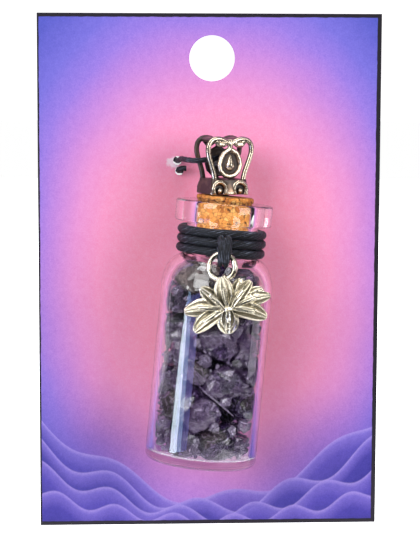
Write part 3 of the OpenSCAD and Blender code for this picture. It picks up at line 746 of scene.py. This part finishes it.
def neck_cord(finish):
    """Three closed turns that waver a little, as a wound cord does."""
    a = 2 * math.pi * np.linspace(0, 1, 260) - math.pi / 2
    forms, uvs = [], []
    for number in range(3):
        drift = 0.10 * np.sin(a * 2 + 1.7 * number) + 0.06 * np.sin(a * 5 + number)
        z = WRAP_LOW_Z + WRAP_PITCH * number + drift * 0.6
        r = WRAP_R - 0.03 + 0.03 * np.sin(a * 3 + number * 2.1)
        path = np.stack([r * np.cos(a), r * np.sin(a), z], 1)[:-1]
        points, faces, uv = cord_form(
            path, WRAP_CORD_R * 0.99, 32, plies=7, depth=0.07, lay=26.0, closed=True)
        forms.append((points, faces))
        uvs += uv
    points, faces = joined(forms)
    piece("neck_turns", on_card(points), faces, finish, ["neck_wrap"], uvs)


def charm_cord(finish):
    """Two strands that leave the neck cord in front, pass through the ring and go back below."""
    face = -(WRAP_OUT + 0.22)
    behind = -(WRAP_OUT + 0.15 + LOOP_CORD_R)
    front = -(LOOP_REACH + LOOP_CORD_R)
    side_view = [
        (face, WRAP_LOW_Z + 1.5 * WRAP_PITCH), (face - 0.8, WRAP_LOW_Z + 1.55 * WRAP_PITCH),
        ((face + front) / 2, WRAP_LOW_Z + 1.35 * WRAP_PITCH), (front + 0.25, 42.4), (front, 41.3),
        (front, 40.1), ((front + behind) / 2, RING_Z + 0.3), (behind - 0.15, 40.3), (behind, 41.3),
        (behind + 0.2, WRAP_LOW_Z + 0.35 * WRAP_PITCH), (face, WRAP_LOW_Z + 0.5 * WRAP_PITCH)]
    pinch = [1, 1, 1, 0.95, 0.85, 0.76, 0.72, 0.76, 0.85, 0.95, 1]
    forms, uvs = [], []
    for side in (-1, 1):
        path = curve([(side * (LOOP_CORD_R * w + 0.02), y, z) for w, (y, z) in zip(pinch, side_view)], 10)
        radius = np.abs(path[:, 0]) - 0.02
        points, faces, uv = cord_form(path, radius, 26, plies=5, depth=0.14, lay=14.0 * side)
        forms.append((points, faces))
        uvs += uv
    # Thinner ends of the cord fill the middle of the bundle
    for side, off, first, last in ((-0.34, -0.42, 0, 6), (0.3, -0.36, 0, 6), (0.0, -0.55, 1, 6)):
        route = [(side * w, y + off * (0.4 if k == first else 1.0), z)
                 for k, (w, (y, z)) in enumerate(zip(pinch, side_view))][first:last]
        path = curve(route, 10)
        points, faces, uv = cord_form(path, 0.42, 18, plies=3, depth=0.12, lay=7.0)
        forms.append((points, faces))
        uvs += uv
    points, faces = joined(forms)
    piece("charm_strands", on_card(points), faces, finish, ["charm_loop"], uvs)


def tie_cord(finish):
    path = curve(TIE_ROUTE, 10)
    radius = np.full(len(path), TIE_R)
    for i, r in enumerate((0.8, 0.95, 1.0, 1.0, 0.95, 0.8, 0.65)):
        radius[i] = TIE_R * r
    points, faces, uv = cord_form(path, radius, 20, plies=3, depth=0.12, lay=5.0)
    forms = [(points, faces)]
    t = np.linspace(0, 2 * math.pi * KNOT_TURNS, 60)
    knot = np.array(KNOT_AT) + KNOT_RADII * np.stack([np.cos(t), np.sin(t), np.sin(t)], 1)
    knot += np.outer(t / t[-1] - 0.5, KNOT_SLANT)
    more, more_faces, more_uv = cord_form(knot, TIE_R * 0.85, 16, plies=3, depth=0.12, lay=5.0)
    forms.append((more, more_faces))
    points, faces = joined(forms)
    piece("tie_strand", points, faces, finish, ["card_tie"], uv + more_uv)


# The big smooth pebble at the top left, and the chips whose stones are pale crystal
WHOLE = "chip_37"
PALE = ("chip_25", "chip_26", "chip_19", "chip_12", "chip_05", "chip_01", "chip_20")
# A stone in mm: the longest that is left whole, the gap of a break, how many flat places are knocked off, how
# much it swells, how far the outer ones move out, and the depth over which the glass stops it
LONGEST_STONE = 4.9
BREAK_GAP = 0.05
FLAT_PLACES = 13
SWELLING = 1.24
OUTWARD = 1.04
GIVE = 0.6
# Loose crystals all over the glass and low in it, their highest places, and the ends of the long needle
GRIT_ALL_OVER = 230
GRIT_LOW = 100
GRIT_TOP_Z = 34.0
GRIT_LOW_Z = 5.2
NEEDLE = np.array([(-2.0, -8.9, 16.0), (4.8, -7.95, 10.6)])


def cut_away(work, at, away):
    """Keeps the side of a closed form that lies against the direction away, and closes the cut."""
    parts = work.verts[:] + work.edges[:] + work.faces[:]
    made = bmesh.ops.bisect_plane(work, geom=parts, dist=1e-5, plane_co=at, plane_no=away, clear_outer=True)
    rim = [e for e in made["geom_cut"] if isinstance(e, bmesh.types.BMEdge)]
    if rim:
        bmesh.ops.edgeloop_fill(work, edges=rim)


def any_direction(dice):
    v = dice.normal(size=3)
    return Vector(v / np.linalg.norm(v))


def broken(points, faces, dice):
    """Breaks a closed form into stones that are short enough, with a thin gap between them."""
    waiting, done = [bare(points, faces)], []
    while waiting:
        work = waiting.pop()
        corners = np.array([v.co for v in work.verts])
        if len(corners) < 4:
            work.free()
            continue
        middle = corners.mean(0)
        _, axes = np.linalg.eigh(np.cov((corners - middle).T))
        longest = Vector(axes[:, 2])
        length = np.ptp(corners @ axes[:, 2])
        if length < LONGEST_STONE:
            done.append(work)
            continue
        away = (longest + 0.55 * any_direction(dice)).normalized()
        at = Vector(middle) + longest * float(dice.uniform(-0.12, 0.12) * length)
        for sign in (1, -1):
            half = work.copy()
            cut_away(half, at - away * sign * BREAK_GAP, away * sign)
            waiting.append(half)
        work.free()
    return done


def chipped(work, dice, cuts):
    """Knocks flat places off a stone. Returns its points and faces, or nothing if too little is left."""
    corners = np.array([v.co for v in work.verts])
    middle = corners.mean(0)
    for _ in range(cuts):
        away = any_direction(dice)
        reach = float(((corners - middle) @ np.array(away)).max())
        cut_away(work, Vector(middle) + away * reach * float(dice.uniform(0.78, 0.98)), away)
    points = np.array([v.co for v in work.verts])
    faces = [tuple(v.index for v in f.verts) for f in work.faces]
    work.free()
    return (points, faces) if len(points) > 5 else None


def worn(points, dice, depth):
    """Small dents and ridges all over a stone."""
    seed = Vector(dice.uniform(-50, 50, size=3))
    middle = points.mean(0)
    for p in points:
        dent = noise.noise(Vector(p) * 0.8 + seed) + 0.6 * noise.noise(Vector(p) * 2.1 + seed)
        away = middle - p
        p += away / np.linalg.norm(away) * depth * (dent + 0.3)
    return points


def smooth_pebble(points, faces, dice):
    """A stone with its edges rounded off round its own middle, and dented."""
    middle = points.mean(0)
    points, faces = fused(points - middle, faces, 0.21, 3)
    return worn(points + middle, dice, 0.1), faces


def packed_in(points):
    """Swells a stone by a set share round its middle, moves the outer ones out, and keeps it inside the
    glass.
    """
    middle = points.mean(0)
    inside = off_card(middle + SWELLING * (points - middle))
    if math.hypot(*inside.mean(0)[:2]) > 4:
        inside[:, :2] *= OUTWARD
    r = np.hypot(inside[:, 0], inside[:, 1])
    high = np.clip((inside[:, 2] - INNER_SHOULDER_Z) / INNER_SHOULDER_H, 0, 0.99)
    room = BORE_R + (INNER_R - BORE_R) * np.sqrt(1 - high ** 2) - 0.1
    over = np.maximum(r - room + GIVE, 0)
    held = np.minimum(r, room - GIVE) + GIVE * (1 - np.exp(-over / GIVE))
    inside[:, :2] *= (held / np.maximum(r, 0.01))[:, None]
    inside[:, 2] = np.clip(inside[:, 2], BASE_T + 0.12, 39.0)
    return on_card(inside)


def bare(points, faces):
    work = bmesh.new()
    for p in points:
        work.verts.new(p)
    work.verts.ensure_lookup_table()
    for f in faces:
        work.faces.new([work.verts[i] for i in f])
    return work


def separate(points, faces):
    """The closed forms that a node is made of."""
    near = {}
    for i, f in enumerate(faces):
        for v in f:
            near.setdefault(v, []).append(i)
    left, forms = set(range(len(faces))), []
    while left:
        group, edge = [], [left.pop()]
        while edge:
            i = edge.pop()
            group.append(i)
            for j in {j for v in faces[i] for j in near[v]} & left:
                left.remove(j)
                edge.append(j)
        used = sorted({v for i in group for v in faces[i]})
        index = {v: k for k, v in enumerate(used)}
        forms.append((points[used], [tuple(index[v] for v in faces[i]) for i in group]))
    return forms


def stones(finishes, pebble, grit):
    """A piece for each chip, broken into a few stones, and one for the crumbs. Returns the crumbs' forms."""
    dice = np.random.default_rng(23)
    forms, homes = [], []
    nodes = sorted(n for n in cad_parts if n.startswith("chip_"))
    for node in nodes:
        parts = [bare(*solid(node))] if node == WHOLE else broken(*solid(node), dice)
        for work in parts:
            form = chipped(work, dice, 2 if node == WHOLE else FLAT_PLACES)
            if form:
                forms.append(form)
                homes.append(node)
    for node in nodes:
        mine = [form for form, home in zip(forms, homes) if home == node]
        if node == WHOLE:
            mine = [smooth_pebble(*form, dice) for form in mine]
        mine = [(packed_in(p), f) for p, f in mine]
        if node == WHOLE:
            kinds = [pebble]
        elif node in PALE:
            kinds = [finishes["lilac"], finishes["dusk"], finishes["lilac"], finishes["lilac"]]
        else:
            start = int(dice.integers(4))
            kinds = [finishes[k] for k in ("deep", "smoky", "dusk", "deep", "lilac", "smoky")[start:]]
        points, faces = joined(mine)
        made = piece("stone" + node[4:], points, faces, kinds[0], [node], smooth=node == WHOLE)
        marks = []
        for number, (_, f) in enumerate(mine):
            if number:
                made.data.materials.append(kinds[number % len(kinds)])
            marks += [number] * len(f)
        made.data.polygons.foreach_set("material_index", marks)
    small = [chipped(bare(*form), dice, 4) for form in separate(*solid("crumbs"))]
    small = [form for form in small if form]
    points, faces = joined(small)
    piece("small_crumbs", points, faces, grit, ["crumbs"], smooth=False)
    return small


def loose_grit(small, finish):
    """Broken crystals, smaller than a crumb, and a long thin needle that lie against the glass."""
    dice = np.random.default_rng(8)
    forms = []
    for number in range(GRIT_ALL_OVER + GRIT_LOW):
        low = number >= GRIT_ALL_OVER
        points, faces = small[int(dice.integers(len(small)))]
        points = points - points.mean(0)
        points = points * dice.uniform(0.2, 0.6) * dice.uniform(0.6, 1.4, size=3) * (1.5 if low else 1.0)
        spin = np.array(Matrix.Rotation(float(dice.uniform(0, 6.28)), 3, any_direction(dice)))
        points = points @ spin.T
        angle = dice.uniform(0, 2 * math.pi)
        z = dice.uniform(BASE_T + 0.9, GRIT_LOW_Z if low else GRIT_TOP_Z)
        r = INNER_R - 0.2 - np.abs(points[:, :2]).max() * 1.2
        middle = np.array([r * math.cos(angle), r * math.sin(angle), z])
        forms.append((on_card(points + middle), faces))
    path = NEEDLE[0] + np.linspace(0, 1, 12)[:, None] * (NEEDLE[1] - NEEDLE[0])
    out = np.hypot(path[:, 0], path[:, 1])
    path[:, :2] *= ((INNER_R - 0.35) / out)[:, None]
    radius = 0.05 + 0.13 * np.sin(np.linspace(0.15, 2.9, 12))
    forms.append(cord_form(on_card(path), radius, 6)[:2])
    points, faces = joined(forms)
    piece("loose_grit", points, faces, finish, [], smooth=False)


# Studio

# The round room: radius, radius of its curve and height. The sweep: half width, front and back edge, radius
# of its curve, height, and how far it lies below the room
ROOM_R = 2500.0
ROOM_CURVE_R = 600.0
ROOM_H = 2600.0
SWEEP_HALF_W = 900.0
SWEEP_FRONT = -700.0
SWEEP_BACK = 490.0
SWEEP_CURVE_R = 160.0
SWEEP_H = 700.0
SWEEP_BELOW = 0.6
# What the soft boxes and the gloss-only lights aim at
CARD_MIDDLE = (0.0, 0.0, -43.0)
GLASS_MIDDLE = (0, -11, -62)
# The camera of the photograph: its place in mm, its directions, and its focal length and the width of the
# frame in pixels
CAMERA_PLACE = (-19.47, -366.74, 3.61)
CAMERA_RIGHT = (0.99864571, -0.05191082, 0.00346463)
CAMERA_UP = (0.00289224, 0.12188427, 0.9925401)
FOCAL_PIXELS = 1850.0
FRAME_PIXELS = 420.0


def studio_white(name, emission):
    look = Look(name)
    white = look.ramp(look.grain(0.004, 1.0), [(0.0, (0.93, 0.93, 0.93, 1)), (1.0, (0.95, 0.95, 0.95, 1))])
    return look.finish({"Base Color": white, "Roughness": 0.9, "Specular IOR Level": 0.1,
                        "Emission Color": (1, 1, 1, 1), "Emission Strength": emission})


def stage_form(name, points, faces, finish):
    """A form of the studio, which lends the object no light of its own and no shadow."""
    mesh = bpy.data.meshes.new(name)
    mesh.from_pydata((np.asarray(points, float) * MM).tolist(), [], flat_faces(faces))
    mesh.polygons.foreach_set("use_smooth", [True] * len(faces))
    mesh.materials.append(finish)
    made = bpy.data.objects.new(name, mesh)
    bpy.context.scene.collection.objects.link(made)
    made.visible_diffuse = False
    made.visible_shadow = False
    return made


def studio():
    """A round white room that the camera sees from every side, and a smaller sweep that the gloss sees."""
    floor_r = ROOM_R - ROOM_CURVE_R
    wall = [(0, CARD_BOTTOM), (floor_r, CARD_BOTTOM)]
    wall += arc(floor_r, CARD_BOTTOM + ROOM_CURVE_R, ROOM_CURVE_R, ROOM_CURVE_R, -90, 0, 12)
    wall += [(ROOM_R, ROOM_H)]
    room = stage_form("studio_room", *lathe(wall, 48), studio_white("room_white", 1.0))
    room.visible_glossy = False
    room.visible_transmission = False
    low = CARD_BOTTOM - SWEEP_BELOW
    curve_y = SWEEP_BACK - SWEEP_CURVE_R
    side_view = [(SWEEP_FRONT, low)]
    side_view += arc(curve_y, low + SWEEP_CURVE_R, SWEEP_CURVE_R, SWEEP_CURVE_R, -90, 0, 16)
    side_view += [(SWEEP_BACK, SWEEP_H)]
    points = [(x, y, z) for y, z in side_view for x in (-SWEEP_HALF_W, SWEEP_HALF_W)]
    faces = [(2 * i, 2 * i + 1, 2 * i + 3, 2 * i + 2) for i in range(len(side_view) - 1)]
    sweep = stage_form("studio_sweep", points, faces, studio_white("sweep_white", 0.42))
    sweep.visible_camera = False


def flag_black():
    look = Look("flag_black")
    black = look.ramp(look.grain(0.01, 1.0), [
        (0.0, (0.010, 0.010, 0.012, 1)), (1.0, (0.014, 0.014, 0.016, 1))])
    return look.finish({"Base Color": black, "Roughness": 1.0, "Specular IOR Level": 0.0})


def flag(name, left, right, front, back, finish):
    """A black cloth on the floor, which only reflections see: it keeps the glass clear."""
    z = CARD_BOTTOM + 1.0
    corners = [(left, front, z), (right, front, z), (right, back, z), (left, back, z)]
    made = stage_form(name, corners, [(0, 1, 2, 3)], finish)
    made.visible_camera = False


def soft_light(name, place, aim, width, height, power, colour=(1, 1, 1), gloss_only=False, shape="RECTANGLE"):
    data = bpy.data.lights.new(name, "AREA")
    data.shape = shape
    data.size = width * MM
    data.size_y = height * MM
    data.energy = power
    data.color = colour
    made = bpy.data.objects.new(name, data)
    bpy.context.scene.collection.objects.link(made)
    made.location = Vector(place) * MM
    made.rotation_euler = (Vector(aim) - Vector(place)).to_track_quat("-Z", "Y").to_euler()
    made.visible_camera = False
    if gloss_only:
        made.visible_diffuse = False
        made.visible_transmission = False


def lighting():
    world = bpy.data.worlds.new("studio_sky")
    world.use_nodes = True
    sky = world.node_tree.nodes["Background"]
    sky.inputs["Color"].default_value = (0.95, 0.97, 1.0, 1)
    sky.inputs["Strength"].default_value = 0.15
    bpy.context.scene.world = world
    soft_light("key_softbox", (-420, -560, 260), CARD_MIDDLE, 420, 420, 3.6)
    soft_light("fill_softbox", (520, -520, 120), CARD_MIDDLE, 360, 420, 3.1)
    soft_light("top_softbox", (0, -120, 520), CARD_MIDDLE, 500, 360, 2.4)
    soft_light("back_softbox", (260, 560, 160), CARD_MIDDLE, 420, 420, 3.0)
    # A low strip close on the left, seen only in what shines: a bright core that narrows upwards,
    # with a dim blue edge beside it, a box for the shoulder and a line for the lip
    soft_light("strip_edge", (-106, -109, -72), GLASS_MIDDLE, 70, 62, 0.045, (0.32, 0.32, 1.0),
               gloss_only=True)
    soft_light("strip_wide", (-121, -88, -86), GLASS_MIDDLE, 62, 96, 0.07, (0.45, 0.7, 1.0),
               gloss_only=True, shape="ELLIPSE")
    soft_light("strip_core", (-126, -80, -90), GLASS_MIDDLE, 38, 92, 0.1, (0.86, 0.94, 1.0),
               gloss_only=True, shape="ELLIPSE")
    soft_light("shoulder_box", (-96, -92, 150), (0, -11, -38), 60, 60, 0.08, (0.93, 0.95, 1.0),
               gloss_only=True)
    soft_light("right_rim", (144, -6, -84), GLASS_MIDDLE, 60, 104, 0.034, (0.95, 0.93, 1.0),
               gloss_only=True)
    soft_light("lip_line", (-128, -76, -29), (0, -11, -25), 14, 12, 0.005, (1.0, 1.0, 1.0),
               gloss_only=True)


def camera():
    data = bpy.data.cameras.new("product_camera")
    data.sensor_fit = "HORIZONTAL"
    data.sensor_width = 36.0
    data.lens = FOCAL_PIXELS / FRAME_PIXELS * 36.0
    data.clip_start = 0.01
    made = bpy.data.objects.new("product_camera", data)
    bpy.context.scene.collection.objects.link(made)
    right = Vector(CAMERA_RIGHT)
    up = Vector(CAMERA_UP)
    back = right.cross(up)
    turn = Matrix((right, up, back)).transposed().to_4x4()
    made.matrix_world = Matrix.Translation(Vector(CAMERA_PLACE) * MM) @ turn
    bpy.context.scene.camera = made


def build():
    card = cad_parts["card"]
    card.data.materials.clear()
    card.data.materials.append(card_print())
    bottle(clear_glass())
    cork(cork_crumb())
    casting("cast_bail", "bail", antique_silver(
        "bail_silver", srgb(206, 190, 170), srgb(128, 104, 86), srgb(54, 36, 28), srgb(24, 15, 12)),
        0.1, 2, BAIL_WEAR_AND_SHADE)
    casting("cast_lotus", "lotus_charm", antique_silver(
        "charm_metal", srgb(236, 228, 206), srgb(160, 150, 124), srgb(62, 56, 40), srgb(20, 19, 14)),
        0.085, 1, CHARM_WEAR_AND_SHADE)
    jump_ring(ring_silver())
    neck_cord(black_cord("wrap_cord", 26.0))
    charm_cord(black_cord("strand_cord", 18.0))
    tie_cord(black_cord("tie_cord", 14.0))
    finishes = {
        "deep": stone("deep_amethyst", [srgb(8, 3, 16), srgb(24, 9, 44), srgb(58, 28, 92)], 0.3, 0.1),
        "smoky": stone("smoky_amethyst", [srgb(12, 8, 12), srgb(34, 24, 32), srgb(78, 62, 74)], 0.15, 0.14),
        "lilac": stone(
            "lilac_crystal", [srgb(84, 56, 110), srgb(140, 108, 164), srgb(208, 186, 222)], 0.8, 0.05),
        "dusk": stone("dusk_amethyst", [srgb(18, 9, 30), srgb(44, 24, 66), srgb(98, 66, 124)], 0.5, 0.08),
    }
    pebble = stone("grey_pebble", [srgb(40, 32, 34), srgb(78, 66, 66), srgb(128, 114, 112)], 0.0, 0.16, 0.0)
    grit = stone("pale_crystal", [srgb(104, 84, 128), srgb(154, 134, 174), srgb(222, 210, 230)], 0.75, 0.07)
    small = stones(finishes, pebble, grit)
    loose_grit(small, grit)
    studio()
    black = flag_black()
    flag("front_flag", -890.0, 890.0, -690.0, -70.0, black)
    flag("left_flag", -890.0, -90.0, -70.0, 150.0, black)
    flag("right_flag", 50.0, 890.0, -70.0, 150.0, black)
    lighting()
    camera()


build()
bpy.context.scene.view_settings.view_transform = "Standard"
